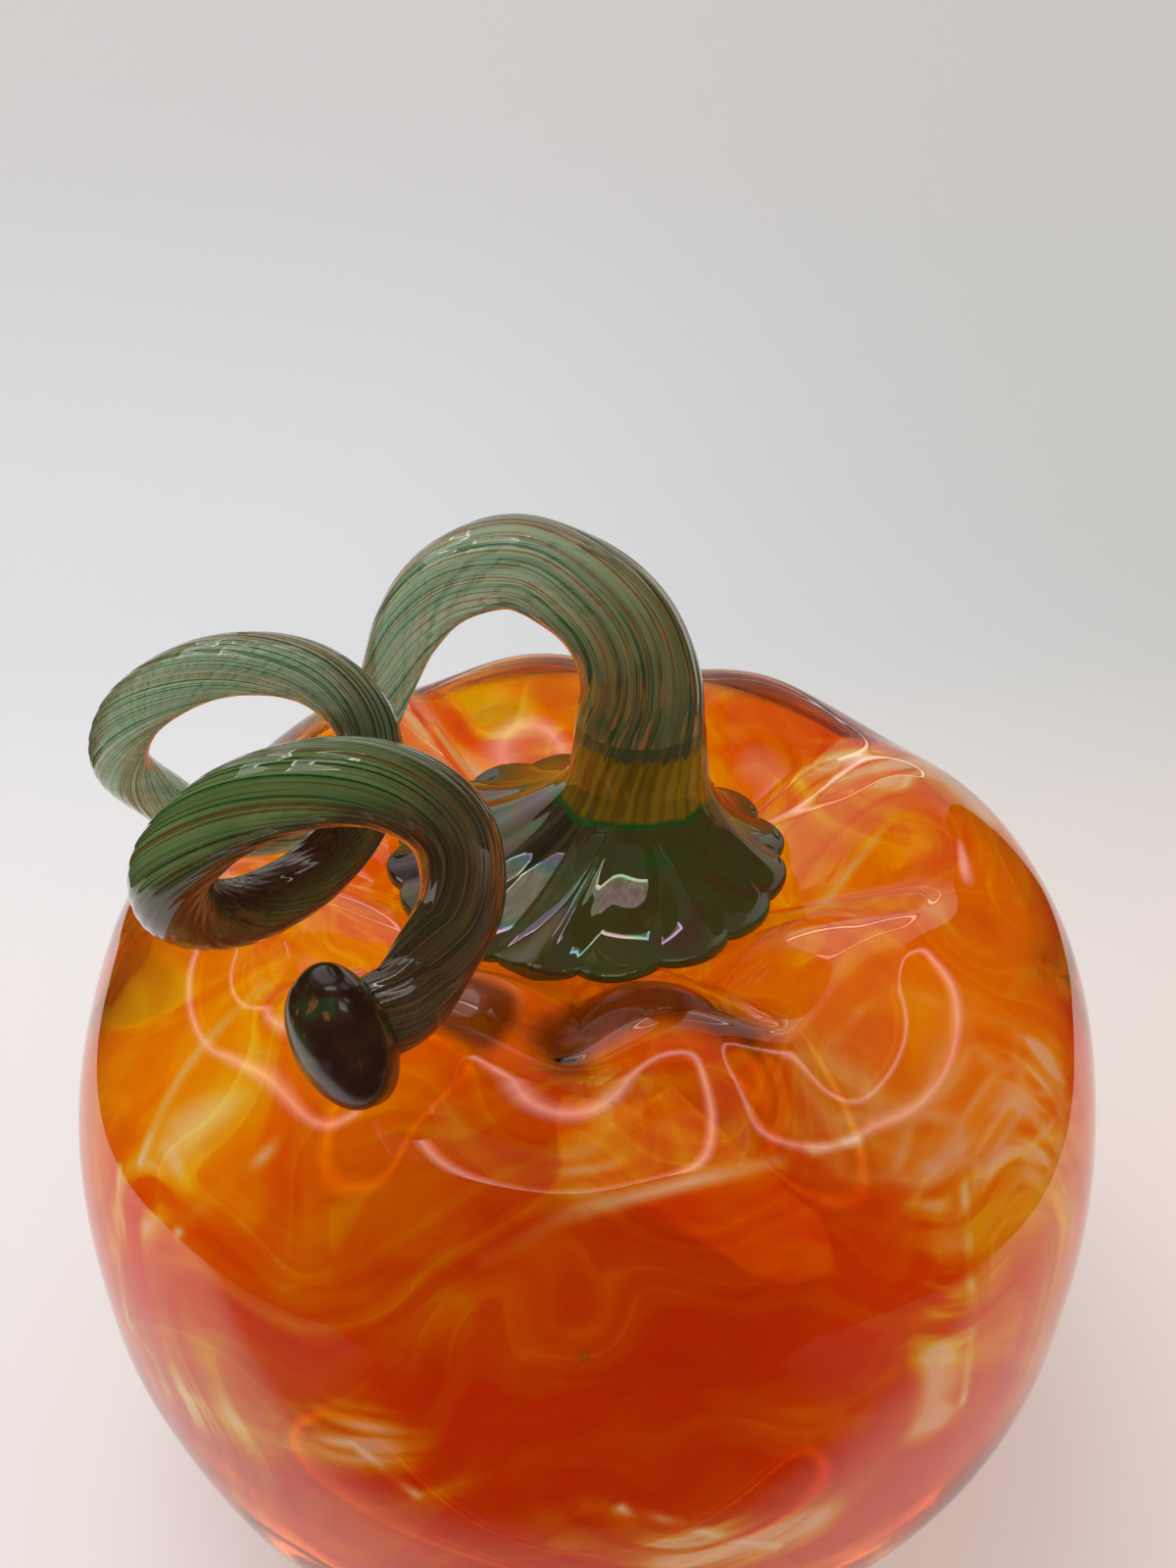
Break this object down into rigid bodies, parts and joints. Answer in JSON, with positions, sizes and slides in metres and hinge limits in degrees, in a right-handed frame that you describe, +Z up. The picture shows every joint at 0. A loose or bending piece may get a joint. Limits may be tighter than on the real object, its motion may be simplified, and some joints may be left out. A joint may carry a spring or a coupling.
{
  "type": "glass pumpkin ornament",
  "caption": "Hollow lobed blown-glass pumpkin with a pressed crown, a ribbed green glass stem that arches over and curls into a coil, and a flat base to stand on.",
  "frame": {"origin": "centre of the flat base, on the table", "axes": "+Z up along the body's axis; -Y is the front, and the coil of the stem hangs over the front left shoulder"},
  "size_m": [0.1494, 0.1498, 0.1538],
  "materials": {
    "clear_glass": "fire-polished clear glass over the colour",
    "orange_glass": "translucent orange glass with pale feathered streaks",
    "green_glass": "dark green glass with a slight iridescence",
    "stem_glass": "sage green glass with twisted copper-brown and dark green threads",
    "tip_glass": "dark brown fire-polished glass"
  },
  "bodies": {
    "root": {"clear_casing": "clear_glass", "colour_bubble": "orange_glass", "stem_skirt": "green_glass", "stem_curl": "stem_glass", "stem_tip": "tip_glass"}
  },
  "joints": []
}
